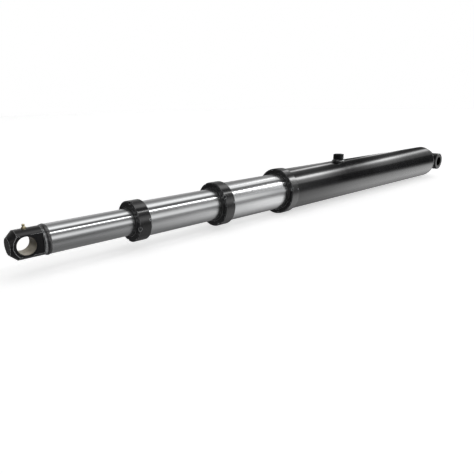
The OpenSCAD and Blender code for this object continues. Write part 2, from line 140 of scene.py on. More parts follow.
class Shader:
    """A new material with a Principled shader and short calls to add nodes to it."""

    def __init__(self, name, **sockets):
        self.material = bpy.data.materials.new(name)
        self.material.use_nodes = True
        self.tree = self.material.node_tree
        self.bsdf = self.tree.nodes["Principled BSDF"]
        for socket, value in sockets.items():
            self.bsdf.inputs[socket.replace("_", " ")].default_value = value

    def add(self, kind, **settings):
        node = self.tree.nodes.new(kind)
        for key, value in settings.items():
            setattr(node, key, value)
        return node

    def link(self, source, target):
        self.tree.links.new(source, target)

    def coords(self, scale=(1, 1, 1)):
        """Object coordinates in metres, scaled along each axis."""
        where = self.add("ShaderNodeTexCoord")
        mapping = self.add("ShaderNodeMapping")
        mapping.inputs["Scale"].default_value = scale
        self.link(where.outputs["Object"], mapping.inputs["Vector"])
        return mapping.outputs["Vector"]

    def noise(self, scale, stretch=(1, 1, 1), detail=4.0):
        node = self.add("ShaderNodeTexNoise")
        node.inputs["Scale"].default_value = scale
        node.inputs["Detail"].default_value = detail
        self.link(self.coords(stretch), node.inputs["Vector"])
        return node.outputs["Fac"]

    def bands(self, scale, axis, distortion):
        node = self.add("ShaderNodeTexWave", wave_type="BANDS", bands_direction=axis)
        node.inputs["Scale"].default_value = scale
        node.inputs["Distortion"].default_value = distortion
        self.link(self.coords(), node.inputs["Vector"])
        return node.outputs["Fac"]

    def spread(self, value, low, high, start=NOISE_LOW, end=NOISE_HIGH):
        """Maps a value, by default a noise value, onto a range."""
        node = self.add("ShaderNodeMapRange")
        limits = {"From Min": start, "From Max": end, "To Min": low, "To Max": high}
        for socket, number in limits.items():
            node.inputs[socket].default_value = number
        self.link(value, node.inputs["Value"])
        return node.outputs["Result"]

    def tint(self, value, dark, light):
        """Maps a noise value onto a colour range."""
        node = self.add("ShaderNodeValToRGB")
        first, last = node.color_ramp.elements
        first.position, first.color = NOISE_LOW, (*dark, 1)
        last.position, last.color = NOISE_HIGH, (*light, 1)
        self.link(value, node.inputs["Fac"])
        return node.outputs["Color"]

    def relief(self, value, depth):
        """Bumps the surface by a depth in metres, at half strength."""
        node = self.add("ShaderNodeBump")
        node.inputs["Strength"].default_value = 0.5
        node.inputs["Distance"].default_value = depth
        self.link(value, node.inputs["Height"])
        self.link(node.outputs["Normal"], self.bsdf.inputs["Normal"])

    def maths(self, operation, *values):
        node = self.add("ShaderNodeMath", operation=operation)
        for socket, value in zip(node.inputs, values):
            if isinstance(value, float):
                socket.default_value = value
            else:
                self.link(value, socket)
        return node.outputs["Value"]

    def mix(self, factor, under, over):
        """Lays a plain colour over a colour."""
        node = self.add("ShaderNodeMix", data_type="RGBA")
        self.link(factor, node.inputs[0])
        self.link(under, node.inputs[6])        # 6 and 7 are the colour sockets
        node.inputs[7].default_value = (*over, 1)
        return node.outputs[2]

    def colour(self, value):
        self.link(value, self.bsdf.inputs["Base Color"])

    def roughness(self, value):
        self.link(value, self.bsdf.inputs["Roughness"])


# ---------------------------------------------------------------- materials

EDGE_REACH = 1.6 * MM           # how far in from an edge the paint is rubbed and the edge painted light
ROUNDED_OFF = (0.9, 0.99)       # where an edge begins and ends, by how far its rounded normal turns
TOOL_MARKS = 0.35 * MM
TOOL_DEPTH = 0.02 * MM
BLACK = (0.006, 0.006, 0.0065)
BLACK_DUSTY = (0.012, 0.012, 0.013)
# Colour of rubbed-through steel, which also stands in for a painted highlight along the edges
BARE_STEEL_AND_GLINT = (0.5, 0.51, 0.52)


def paint(name, dark, light, rough, peel, ior=1.55, worn_and_glint_colour=BARE_STEEL_AND_GLINT, edge_wear_and_glint=0.0, plain_edge_reach=0.0):
    """Sprayed enamel: orange peel, patches of handling gloss, edges lightened in patches.

    The lightened edges are partly paint rubbed through to the steel and partly a painted highlight along
    the edges. Edges closer than plain_edge_reach to the axis of the rod pin are left plain."""
    s = Shader(name, IOR=ior)
    enamel = s.tint(s.noise(14, detail=6), dark, light)
    s.roughness(s.spread(s.noise(38, detail=5), *rough))
    s.relief(s.noise(420, detail=2), peel)
    if not edge_wear_and_glint:
        s.colour(enamel)
        return s.material
    # Edges lighten in patches towards the worn colour: partly paint rubbed through to the steel, partly
    # a painted highlight along the edges
    rounded = s.add("ShaderNodeBevel", samples=6)
    rounded.inputs["Radius"].default_value = EDGE_REACH
    plain = s.add("ShaderNodeNewGeometry")
    match = s.add("ShaderNodeVectorMath", operation="DOT_PRODUCT")
    s.link(rounded.outputs["Normal"], match.inputs[0])
    s.link(plain.outputs["Normal"], match.inputs[1])
    edge = s.spread(match.outputs["Value"], 1.0, 0.0, *ROUNDED_OFF)
    patchy = s.spread(s.noise(150, detail=5), 0.0, 1.0, 0.62 - edge_wear_and_glint, 0.74 - edge_wear_and_glint)
    rubbed_and_glint = s.maths("MULTIPLY", edge, patchy)
    if plain_edge_reach:
        away = s.add("ShaderNodeVectorMath", operation="DISTANCE")
        s.link(s.coords((1, 0, 1)), away.inputs[0])
        away.inputs[1].default_value = (EYE_X, 0, 0)
        outside = s.maths("GREATER_THAN", away.outputs["Value"], plain_edge_reach)
        rubbed_and_glint = s.maths("MULTIPLY", rubbed_and_glint, outside)
    s.colour(s.mix(rubbed_and_glint, enamel, worn_and_glint_colour))
    s.link(s.maths("MULTIPLY", rubbed_and_glint, 0.5), s.bsdf.inputs["Metallic"])
    return s.material


def chrome():
    """Hard chrome, ground round the tube: it blurs what it mirrors along the tube, not across it."""
    quarter_turn = 0.25
    s = Shader("chrome", Metallic=1.0, Anisotropic=1.0, Anisotropic_Rotation=quarter_turn)
    around = s.add("ShaderNodeTangent", direction_type="RADIAL", axis="X")
    s.link(around.outputs["Tangent"], s.bsdf.inputs["Tangent"])
    s.colour(s.tint(s.noise(5, stretch=(1, 6, 6)), (0.7, 0.71, 0.72), (0.8, 0.805, 0.81)))
    s.roughness(s.spread(s.noise(26, stretch=(0.1, 12, 12), detail=3), 0.14, 0.19))
    s.relief(s.noise(30, stretch=(0.03, 12, 12), detail=3), 0.006 * MM)
    return s.material


def tool_marks(shader, axis):
    """Fine lines left by a lathe tool along an axis."""
    shader.relief(shader.bands(1 / (20 * TOOL_MARKS), axis, distortion=0.4), TOOL_DEPTH)


def cut_metal(name, dark, light, axis):
    """Turned or bored metal with fine tool marks along an axis."""
    s = Shader(name, Metallic=1.0)
    s.colour(s.tint(s.noise(45, detail=6), dark, light))
    s.roughness(s.spread(s.noise(90), 0.28, 0.42))
    tool_marks(s, axis)
    return s.material


def moulded(name, dark, light, rough):
    """Moulded rubber or plastic."""
    s = Shader(name, IOR=1.5)
    s.colour(s.tint(s.noise(60, detail=5), dark, light))
    s.roughness(s.spread(s.noise(140), rough - 0.08, rough + 0.08))
    s.relief(s.noise(1400, detail=2), 0.03 * MM)
    return s.material


def painted_bush():
    """Bronze pin bush: bored inside, its end faces sprayed with the cylinder's paint; the base bush's
    bore is darkened nearly to black as painted shade.
    """
    base_end = CROSS_HALF - 1.3 * MM        # where the paint begins, from the middle of each pin
    rod_end = 19.7 * MM
    drips = 1.6 * MM
    s = Shader("pin_bush_bronze", IOR=1.55)
    split = s.add("ShaderNodeSeparateXYZ")
    s.link(s.coords(), split.inputs["Vector"])

    at_rod = s.maths("GREATER_THAN", split.outputs["X"], EYE_X / 2)
    end = s.maths("SUBTRACT", base_end, s.maths("MULTIPLY", at_rod, base_end - rod_end))
    ragged = s.maths("MULTIPLY", s.maths("SUBTRACT", s.noise(260, detail=3), 0.5), drips)
    reach = s.maths("ADD", s.maths("ABSOLUTE", split.outputs["Y"]), ragged)
    painted = s.maths("GREATER_THAN", reach, end)
    stains = s.noise(70, stretch=(1, 0.4, 1), detail=6)
    bored = s.tint(stains, (0.33, 0.29, 0.22), (0.62, 0.57, 0.47))
    # Painted shade: the base bush's bore is darkened nearly to black, the rod bush's is not
    base_bore_shade = s.maths("MULTIPLY", s.maths("SUBTRACT", 1.0, at_rod), 0.85)
    bore_shaded = s.mix(base_bore_shade, bored, (0.03, 0.025, 0.02))
    s.colour(s.mix(painted, bore_shaded, BLACK_DUSTY))
    s.link(s.maths("SUBTRACT", 1.0, painted), s.bsdf.inputs["Metallic"])
    s.roughness(s.spread(s.noise(90), 0.26, 0.42))
    tool_marks(s, "Y")
    return s.material


MATERIALS = {
    # The lightened edges of these paints are partly rubbed paint and partly a painted highlight; the
    # nuts and rod eye get a light grey for it
    "barrel_paint": paint("barrel_paint", BLACK, BLACK_DUSTY, (0.08, 0.13), 0.01 * MM, edge_wear_and_glint=0.04),
    "nut_paint": paint("nut_paint", BLACK, (0.014, 0.014, 0.015), (0.1, 0.18), 0.015 * MM, ior=1.8,
                       worn_and_glint_colour=(0.62, 0.63, 0.64), edge_wear_and_glint=0.24),
    "eye_paint": paint("eye_paint", (0.005, 0.005, 0.0055), BLACK_DUSTY, (0.13, 0.22), 0.02 * MM,
                       worn_and_glint_colour=(0.75, 0.76, 0.77), edge_wear_and_glint=0.3, plain_edge_reach=22 * MM),
    "weld_paint": paint("weld_paint", BLACK, (0.016, 0.016, 0.017), (0.06, 0.13), 0.01 * MM,
                        ior=2.1),
    "chrome": chrome(),
    "brass": cut_metal("brass", (0.72, 0.62, 0.36), (0.88, 0.8, 0.56), "Z"),
    "pin_bush_bronze": painted_bush(),
    "guide_bronze": cut_metal("guide_bronze", (0.5, 0.33, 0.14), (0.66, 0.46, 0.22), "X"),
    "bearing_resin": moulded("bearing_resin", (0.3, 0.17, 0.07), (0.5, 0.33, 0.16), 0.55),
    "seal_polyurethane": moulded("seal_polyurethane", (0.03, 0.09, 0.32), (0.07, 0.16, 0.44), 0.35),
    "rubber": moulded("rubber", (0.01, 0.01, 0.01), (0.028, 0.028, 0.028), 0.5),
    "steel": cut_metal("steel", (0.36, 0.37, 0.39), (0.56, 0.57, 0.59), "X"),
}


def dress_frame():
    """Gives every CAD node the material of its slot."""
    for row in frame["record"]["subparts"]:
        node = frame["nodes"][row["node"]]
        node.data.materials.clear()
        node.data.materials.append(MATERIALS[row["material_slot"]])


# ---------------------------------------------------------------- mesh helpers

def piece(name, mesh, body, slot, *nodes):
    """Links a mesh as a visible piece that rides on a body and stands for CAD nodes."""
    made = bpy.data.objects.new(name, mesh)
    bpy.context.scene.collection.objects.link(made)
    mesh.materials.clear()
    mesh.materials.append(MATERIALS[slot])
    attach(made, body)
    if nodes:
        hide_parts(*nodes)
    return made


TINY = 1e-7


def finish_mesh(bm, name):
    """Turns a bmesh into a mesh with smooth faces and outward normals."""
    bmesh.ops.remove_doubles(bm, verts=bm.verts, dist=TINY)
    bmesh.ops.recalc_face_normals(bm, faces=bm.faces)
    for face in bm.faces:
        face.smooth = True
    mesh = bpy.data.meshes.new(name)
    bm.to_mesh(mesh)
    bm.free()
    return mesh


def round_corners(points, size, steps=3):
    """Rounds each corner of a closed outline of (x, y) points."""
    made = []
    count = len(points)
    for i, point in enumerate(points):
        here = Vector(point)
        before = Vector(points[i - 1]) - here
        after = Vector(points[(i + 1) % count]) - here
        reach = min(size, before.length * 0.45, after.length * 0.45)
        start = here + before.normalized() * reach
        end = here + after.normalized() * reach
        for k in range(steps + 1):
            t = k / steps
            made.append(tuple(start * (1 - t) ** 2 + here * 2 * t * (1 - t) + end * t ** 2))
    return made


def lathe(name, outline, steps=FINE, axis="X"):
    """Turns a closed outline of (along, radius) points about an axis through the origin."""
    bm = bmesh.new()
    place = {
        "X": lambda a, c, s: (a, c, s),
        "Y": lambda a, c, s: (s, a, c),
        "Z": lambda a, c, s: (c, s, a),
    }[axis]
    rings = []
    for along, r in outline:
        if r < TINY:
            rings.append([bm.verts.new(place(along, 0, 0))] * steps)
            continue
        angles = [TURN * k / steps for k in range(steps)]
        rings.append([bm.verts.new(place(along, r * math.cos(t), r * math.sin(t))) for t in angles])
    for i, ring in enumerate(rings):
        following = rings[(i + 1) % len(rings)]
        for k in range(steps):
            m = (k + 1) % steps
            corners = list(dict.fromkeys((ring[k], ring[m], following[m], following[k])))
            if len(corners) > 2:
                bm.faces.new(corners)
    return finish_mesh(bm, name)


def grid_solid(name, rings, closed=True):
    """Skins a list of equal rings of points; closed joins the last ring to the first."""
    bm = bmesh.new()
    made = [[bm.verts.new(p) for p in ring] for ring in rings]
    count = len(made[0])
    pairs = list(zip(made, made[1:]))
    if closed:
        pairs.append((made[-1], made[0]))
    for a, b in pairs:
        for k in range(count):
            m = (k + 1) % count
            bm.faces.new((a[k], a[m], b[m], b[k]))
    if not closed:
        bm.faces.new(made[0])
        bm.faces.new(reversed(made[-1]))
    return finish_mesh(bm, name)


def prism(name, outline, low, high, axis):
    """Extrudes a closed outline along an axis; its points are the other two coordinates."""
    place = {
        "X": lambda a, p: (a, p[0], p[1]),
        "Y": lambda a, p: (p[0], a, p[1]),
        "Z": lambda a, p: (p[0], p[1], a),
    }[axis]
    bm = bmesh.new()
    ends = [[bm.verts.new(place(level, p)) for p in outline] for level in (low, high)]
    count = len(outline)
    for k in range(count):
        m = (k + 1) % count
        bm.faces.new((ends[0][k], ends[0][m], ends[1][m], ends[1][k]))
    bm.faces.new(ends[0])
    bm.faces.new(ends[1])
    return finish_mesh(bm, name)


def carved(name, base, tools, bevel=0.0, segments=2, angle=35):
    """Applies boolean tools of (operation, mesh) to a mesh, then rounds its sharp edges."""
    scene = bpy.context.scene.collection
    work = bpy.data.objects.new(name + "_work", base)
    scene.objects.link(work)
    helpers = []
    for operation, mesh in tools:
        helper = bpy.data.objects.new(name + "_tool", mesh)
        scene.objects.link(helper)
        helpers.append(helper)
        cut = work.modifiers.new("cut", "BOOLEAN")
        cut.operation = operation
        cut.solver = "EXACT"
        cut.object = helper
    if bevel:
        rounding = work.modifiers.new("round", "BEVEL")
        rounding.width = bevel
        rounding.segments = segments
        rounding.limit_method = "ANGLE"
        rounding.angle_limit = math.radians(angle)
        rounding.use_clamp_overlap = True
    bpy.context.view_layer.update()
    graph = bpy.context.evaluated_depsgraph_get()
    mesh = bpy.data.meshes.new_from_object(work.evaluated_get(graph))
    mesh.name = name
    for helper in helpers + [work]:
        bpy.data.objects.remove(helper)
    for face in mesh.polygons:
        face.use_smooth = True
    return mesh


def crisp(made, angle=32):
    """Keeps hard edges hard and lets large faces set the normals of small roundings."""
    made.data.set_sharp_from_angle(angle=math.radians(angle))
    weigh = made.modifiers.new("weigh", "WEIGHTED_NORMAL")
    weigh.keep_sharp = True
    weigh.weight = 90


def turned_mesh(mesh, degrees_from_top, at_x):
    """Moves a mesh made pointing along +Z at the origin to a place round the X axis, towards +Y."""
    turn = Matrix.Rotation(-math.radians(degrees_from_top), 4, "X")
    mesh.transform(Matrix.Translation((at_x, 0, 0)) @ turn)
    return mesh


# ---------------------------------------------------------------- welds

RIPPLE_PITCH = 3.2 * MM
SECTION_STEPS = 9
PORT_WELD_LEG = 5.2 * MM
SADDLE_LEG = 8 * MM
SADDLE_TAPER = 6 * MM
BASE_CROWN = 2.6 * MM
ROD_CROWN = 1.1 * MM
PORT_CROWN = 0.6 * MM
SADDLE_CROWN = 0.9 * MM


def ripple(along, across):
    """Height of a weld's scales: along is the place on the bead in metres, across is -1 to 1."""
    phase = along / RIPPLE_PITCH + 0.35 * across * across
    fall = phase - math.floor(phase)
    wander = math.sin(along * 131.0) * 0.5 + math.sin(along * 57.0 + 1.3) * 0.5
    return 0.22 * (1 - fall) ** 1.5 + 0.1 * wander


def bead_section(toe_a, toe_b, root, out, height, along):
    """One section of a bead: from one toe over the crown to the other, and back by the root."""
    section = []
    for k in range(SECTION_STEPS):
        across = 2 * k / (SECTION_STEPS - 1) - 1
        rise = height * (1 - across * across) * (1 + ripple(along, across))
        section.append(toe_a.lerp(toe_b, (across + 1) / 2) + out * rise)
    section.append(root)
    return section


def ring_weld(name, body, node, low, high, root, out, crown):
    """A bead round the X axis: low, high and root are (x, radius) points of its foot, out its way up."""
    steps = int(TURN * low[1] / RIPPLE_PITCH) * 6
    rings = []
    for k in range(steps):
        t = TURN * k / steps
        around = Vector((0, math.cos(t), math.sin(t)))
        points = [Vector((p[0], 0, 0)) + around * p[1] for p in (low, high, root)]
        way = Vector((out[0], 0, 0)) + around * out[1]
        rings.append(bead_section(*points, way, crown, t * low[1]))
    piece(name, grid_solid(name, rings), body, "weld_paint", node)


def port_weld_piece():
    """The fillet where the port boss stands on the barrel."""
    boss_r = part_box("port_boss")[1].y
    steps = int(TURN * boss_r / RIPPLE_PITCH) * 8
    rings = []
    for k in range(steps):
        t = TURN * k / steps
        side = Vector((math.cos(t), math.sin(t), 0))
        foot_r = boss_r + PORT_WELD_LEG
        foot_z = math.sqrt(BARREL_R ** 2 - (foot_r * side.y) ** 2)
        wall_z = math.sqrt(BARREL_R ** 2 - (boss_r * side.y) ** 2)
        toe_low = Vector((PORT_X, 0, foot_z)) + side * foot_r
        toe_high = Vector((PORT_X, 0, wall_z + PORT_WELD_LEG)) + side * boss_r
        root = Vector((PORT_X, 0, wall_z - 0.5 * MM)) + side * boss_r
        out = (side + Vector((0, 0, 1))).normalized()
        rings.append(bead_section(toe_low, toe_high, root, out, PORT_CROWN, t * foot_r))
    mesh = grid_solid("port_weld_bead", rings)
    piece("port_weld_bead", mesh, "barrel", "weld_paint", "port_weld")


def saddle_welds():
    """Two beads that join the cross tube to the cap."""
    low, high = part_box("cross_tube_weld")
    cap_back = high.x
    reach = high.y
    corner_z = math.sqrt(CROSS_R ** 2 - cap_back ** 2)
    steps = int(2 * reach / RIPPLE_PITCH) * 6
    for side, label in ((1, "upper"), (-1, "lower")):
        rings = []
        for k in range(steps + 1):
            y = -reach + 2 * reach * k / steps
            near_end = min(1.0, (reach - abs(y)) / SADDLE_TAPER + 0.08)
            grow = math.sqrt(near_end)
            leg = SADDLE_LEG * grow
            tube_turn = math.atan2(corner_z, cap_back) + leg / CROSS_R
            toe_cap = Vector((cap_back, y, side * (corner_z + leg)))
            toe_z = side * CROSS_R * math.sin(tube_turn)
            toe_tube = Vector((CROSS_R * math.cos(tube_turn), y, toe_z))
            root = Vector((cap_back + 0.2 * MM, y, side * (corner_z - 1 * MM)))
            out = Vector((-1, 0, side * 0.9)).normalized()
            crown = SADDLE_CROWN * grow
            rings.append(bead_section(toe_cap, toe_tube, root, out, crown, y + reach))
        name = "cross_tube_weld_" + label
        nodes = ("cross_tube_weld",) if side == 1 else ()
        piece(name, grid_solid(name, rings, closed=False), "barrel", "weld_paint", *nodes)


# ---------------------------------------------------------------- barrel

def barrel_shell():
    rear, seat = span("barrel_tube")
    nut_rear = span("barrel_head_nut")[0]
    outline = round_corners([
        (rear, BARREL_R - WALL), (rear, BARREL_R - WELD_BEVEL), (rear + WELD_BEVEL, BARREL_R),
        (nut_rear, BARREL_R), (nut_rear, BARREL_R - THREAD_STEP), (seat, BARREL_R - THREAD_STEP),
        (seat, BARREL_R - WALL),
    ], 0.4 * MM)
    hole_outline = [(0, 0), (0, OIL_WAY_R), (PORT_TOP, OIL_WAY_R), (PORT_TOP, 0)]
    hole = lathe("oil_hole", hole_outline, SMALL, "Z")
    hole.transform(Matrix.Translation((PORT_X, 0, 0)))
    mesh = carved("barrel_shell", lathe("barrel_shell", outline), [("DIFFERENCE", hole)])
    crisp(piece("barrel_shell", mesh, "barrel", "barrel_paint", "barrel_tube"))


def cap_piece():
    back, front = span("base_cap")
    rear = span("barrel_tube")[0]
    inner = BARREL_R - WALL
    root = rear - WELD_BEVEL / 2
    outline = [
        (back, 0), (front, 0), (front, inner), (rear, inner), (rear, inner + 1 * MM), (root, CAP_R),
        (back + CAP_CHAMFER, CAP_R), (back, CAP_R - CAP_CHAMFER),
    ]
    saddle = lathe("saddle", [(-1, 0), (1, 0), (1, CROSS_R), (-1, CROSS_R)], FINE, "Y")
    mesh = carved("end_cap", lathe("end_cap", outline), [("DIFFERENCE", saddle)], 0.7 * MM)
    crisp(piece("end_cap", mesh, "barrel", "barrel_paint", "base_cap"))


def cross_tube_piece():
    outline = [
        (-CROSS_HALF, BUSH_R), (-CROSS_HALF, CROSS_R - CROSS_CHAMFER),
        (-CROSS_HALF + CROSS_CHAMFER, CROSS_R), (CROSS_HALF - CROSS_CHAMFER, CROSS_R),
        (CROSS_HALF, CROSS_R - CROSS_CHAMFER), (CROSS_HALF, BUSH_R),
    ]
    seat = nipple_seat(CROSS_R)
    seat.transform(Matrix.Rotation(-math.pi / 2, 4, "Y"))
    tube = lathe("cross_tube", outline, FINE, "Y")
    mesh = carved("cross_tube", tube, [("DIFFERENCE", seat)], 0.5 * MM)
    crisp(piece("cross_tube", mesh, "barrel", "barrel_paint", "base_cross_tube"))


def bush_piece(name, body, x, low, high, node=None):
    """A pin bush with a lead-in at each end."""
    lead = 0.7 * MM
    outside = BUSH_R - 0.2 * MM
    outline = [
        (low, outside), (low, PIN_R + lead), (low + lead, PIN_R), (high - lead, PIN_R),
        (high, PIN_R + lead), (high, outside),
    ]
    mesh = lathe(name, round_corners(outline, 0.25 * MM), FINE, "Y")
    mesh.transform(Matrix.Translation((x, 0, 0)))
    nodes = (node,) if node else ()
    crisp(piece(name, mesh, body, "pin_bush_bronze", *nodes))


def port_piece():
    """The port boss: saddle foot, bevelled top and a real thread inside."""
    steps = 96
    steps_per_pitch = 6
    boss_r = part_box("port_boss")[1].y
    pitch = 1.814 * MM
    depth = 1.1 * MM
    into_barrel = 0.3 * MM
    thread_high = PORT_TOP - PORT_MOUTH
    thread_low = thread_high - PORT_THREAD_LEN
    levels = int(PORT_THREAD_LEN / pitch * steps_per_pitch)

    def at(r, k, z):
        return Vector((PORT_X + r * math.cos(TURN * k / steps), r * math.sin(TURN * k / steps), z))

    def circle(r, z):
        return [at(r, k, z) for k in range(steps)]

    def thread(z):
        ring = []
        fade = min(1.0, (z - thread_low) / (2 * pitch), (thread_high - z) / pitch + 0.2)
        for k in range(steps):
            phase = (z / pitch - k / steps) % 1.0
            ring.append(at(PORT_THREAD_R + depth * fade * (1 - abs(2 * phase - 1)) * 0.85, k, z))
        return ring

    foot = []
    for p in circle(boss_r, 0):
        foot.append(Vector((p.x, p.y, math.sqrt(BARREL_R ** 2 - p.y ** 2) - into_barrel)))
    rings = [
        foot, circle(boss_r, PORT_TOP - 1.4 * MM), circle(boss_r - 0.25 * MM, PORT_TOP - 0.8 * MM),
        circle(boss_r - 1.0 * MM, PORT_TOP - 0.1 * MM), circle(boss_r - 1.5 * MM, PORT_TOP),
        circle(PORT_THREAD_R + 2.2 * MM, PORT_TOP),
        circle(PORT_THREAD_R + 1.9 * MM, PORT_TOP - 0.2 * MM),
    ]
    rings += [thread(thread_high - PORT_THREAD_LEN * k / levels) for k in range(levels + 1)]
    rings += [circle(OIL_WAY_R, thread_low), circle(OIL_WAY_R, BARREL_R - 4 * MM)]
    mesh = grid_solid("port_boss_threaded", rings)
    crisp(piece("port_boss_threaded", mesh, "barrel", "barrel_paint", "port_boss"), 50)


# ---------------------------------------------------------------- gland nuts

NOTCH_W = 8 * MM
NOTCH_DEPTH = 4 * MM
NOTCH_LEN = 5 * MM
NOTCH_COUNT = 4
NUT_CHAMFER = 1.8 * MM
NUT_ROUNDING = 0.35 * MM
SEAT_DEPTH = 13.5 * MM      # from the front face back to where the nut bears on the tube end
WIPER_BACK = 5.2 * MM       # the wiper's groove, from the front face
LIP_LEN = 1.2 * MM
BORE_GAP = 0.4 * MM         # between the chrome and the bore of the nut
WIPER_RISE = 4.6 * MM       # between the chrome and the bottom of the wiper's groove
LIP_RISE = 2.6 * MM         # between the chrome and the opening at the lip
SCREW_R = 2.5 * MM
SCREW_DEPTH = 6 * MM
SCREW_FORWARD = 3.5 * MM
SCREW_TURN = 80             # degrees from the top, towards +Y
NUTS = (                    # body, node, tube outside, tube inside, degrees to the first notch
    ("barrel", "barrel_head_nut", "barrel_tube", "stage_1_tube", 78),
    ("stage_1", "stage_1_gland_nut", "stage_1_tube", "stage_2_tube", 62),
    ("stage_2", "stage_2_gland_nut", "stage_2_tube", "plunger_tube", 12),
)


def notch_tool(r):
    """A block that cuts one spanner notch in the front rim of a nut, at the top."""
    half = NOTCH_W / 2
    floor = r - NOTCH_DEPTH
    outline = [(-half, floor), (half, floor), (half, r + PAST), (-half, r + PAST)]
    return prism("notch", outline, -NOTCH_LEN, PAST, "X")


def nut_piece(body, node, outer_node, inner_node, first_notch):
    """A gland nut with bevelled rims, spanner notches and the hole of its lock screw."""
    rear, front = span(node)
    r = radius(node)
    inner = radius(inner_node)
    thread_r = radius(outer_node) - THREAD_STEP
    outline = round_corners([
        (rear, thread_r), (front - SEAT_DEPTH, thread_r), (front - SEAT_DEPTH, inner + BORE_GAP),
        (front - WIPER_BACK, inner + BORE_GAP), (front - WIPER_BACK, inner + WIPER_RISE),
        (front - LIP_LEN, inner + WIPER_RISE), (front - LIP_LEN, inner + LIP_RISE),
        (front, inner + LIP_RISE), (front, r - NUT_CHAMFER), (front - NUT_CHAMFER, r),
        (rear + NUT_CHAMFER, r), (rear, r - NUT_CHAMFER),
    ], NUT_ROUNDING, 2)
    tools = []
    for k in range(NOTCH_COUNT):
        angle = first_notch + 360 / NOTCH_COUNT * k
        tools.append(("DIFFERENCE", turned_mesh(notch_tool(r), angle, front)))
    hole_low, hole_high = r - SCREW_DEPTH, r + PAST
    hole_outline = [(hole_low, 0), (hole_low, SCREW_R), (hole_high, SCREW_R), (hole_high, 0)]
    hole = lathe("hole", hole_outline, 32, "Z")
    tools.append(("DIFFERENCE", turned_mesh(hole, SCREW_TURN, rear + SCREW_FORWARD)))
    mesh = carved(node + "_cut", lathe(node, outline), tools, NUT_ROUNDING, 2, 50)
    crisp(piece(node + "_cut", mesh, body, "nut_paint", node))


# ---------------------------------------------------------------- chromed tubes

def tube_piece(body, node, r, wall, front_step):
    """A chromed tube: outside, bore and rounded ends."""
    rear, front = span(node)
    outline = [
        (rear, r - wall), (rear, r - TUBE_CHAMFER), (rear + TUBE_CHAMFER, r),
        (front - front_step, r), (front - front_step, r - THREAD_STEP), (front, r - THREAD_STEP),
        (front, r - wall),
    ]
    mesh = lathe(node + "_chromed", round_corners(outline, 0.3 * MM))
    crisp(piece(node + "_chromed", mesh, body, "chrome", node))


def plunger_piece():
    rear, front = span("plunger_tube")
    inner = PLUNGER_R - PLUNGER_WALL
    outline = [
        (rear, inner), (rear, PLUNGER_R - TUBE_CHAMFER), (rear + TUBE_CHAMFER, PLUNGER_R),
        (front - EYE_WELD_BEVEL, PLUNGER_R), (front, PLUNGER_R - EYE_WELD_BEVEL), (front, inner),
    ]
    mesh = lathe("plunger_chromed", round_corners(outline, 0.2 * MM))
    crisp(piece("plunger_chromed", mesh, "plunger", "chrome", "plunger_tube"))


# ---------------------------------------------------------------- rod eye

EYE_FLAT_BACK = 32 * MM     # start of the flats, behind the pin
EYE_CONE = 13 * MM
EYE_NOSE_R = 17 * MM
EYE_BAR_R = 29 * MM
EYE_HALF = 21 * MM
SHOULDER_R = 29.5 * MM
NECK_R = 27.8 * MM
NECK_LEN = 1.2 * MM
EYE_WELD_BEVEL = 4 * MM
EYE_REACH = 40 * MM         # more than the eye's half width and half height
CORE_R = 20 * MM            # where shank and head overlap inside
NIPPLE_SEAT_R = 6 * MM
NIPPLE_SEAT_DEPTH = 1 * MM
GREASE_WAY_R = 1.5 * MM


def nipple_seat(reach):
    """Cutter for the spot face of a grease nipple, along +Z; reach is the height it is cut from."""
    floor = reach - NIPPLE_SEAT_DEPTH
    return lathe("seat", [
        (0, 0), (0, GREASE_WAY_R), (floor, GREASE_WAY_R), (floor, NIPPLE_SEAT_R),
        (reach + PAST, NIPPLE_SEAT_R), (reach + PAST, 0),
    ], SMALL, "Z")


def rod_eye_piece():
    """Turned shank and cone-nosed head with two milled flats, the pin hole and the nipple seat."""
    back, nose = span("rod_eye")
    weld_low, weld_high = span("rod_eye_weld")
    root = (weld_low + weld_high) / 2
    flat_x = EYE_X - EYE_FLAT_BACK
    shank = lathe("shank", [
        (back, 0), (flat_x + 1 * MM, 0), (flat_x + 1 * MM, CORE_R), (flat_x, CORE_R),
        (flat_x, NECK_R), (flat_x - NECK_LEN, NECK_R), (flat_x - NECK_LEN, SHOULDER_R),
        (weld_high, SHOULDER_R),
        (root, PLUNGER_R - EYE_WELD_BEVEL), (root, PLUNGER_R - PLUNGER_WALL),
        (back, PLUNGER_R - PLUNGER_WALL),
    ])
    head = lathe("head", [
        (flat_x, 0), (nose, 0), (nose, EYE_NOSE_R), (nose - EYE_CONE, EYE_BAR_R), (flat_x, EYE_BAR_R),
    ])
    slab_low, slab_high = flat_x - 1 * MM, nose + 1 * MM
    slab_outline = [(slab_low, -EYE_HALF), (slab_high, -EYE_HALF), (slab_high, EYE_HALF),
                    (slab_low, EYE_HALF)]
    slab = prism("slab", slab_outline, -EYE_REACH, EYE_REACH, "Z")
    pin_outline = [(-EYE_REACH, 0), (EYE_REACH, 0), (EYE_REACH, BUSH_R), (-EYE_REACH, BUSH_R)]
    pin = lathe("pin", pin_outline, FINE, "Y")
    pin.transform(Matrix.Translation((EYE_X, 0, 0)))
    seat = nipple_seat(EYE_BAR_R)
    seat.transform(Matrix.Translation((mid_x("rod_grease_nipple"), 0, 0)))
    mesh = carved("rod_eye_milled", head, [
        ("INTERSECT", slab), ("UNION", shank), ("DIFFERENCE", pin), ("DIFFERENCE", seat),
    ], 0.7 * MM, 3, 28)
    crisp(piece("rod_eye_milled", mesh, "plunger", "eye_paint", "rod_eye"), 30)


# ---------------------------------------------------------------- grease nipples

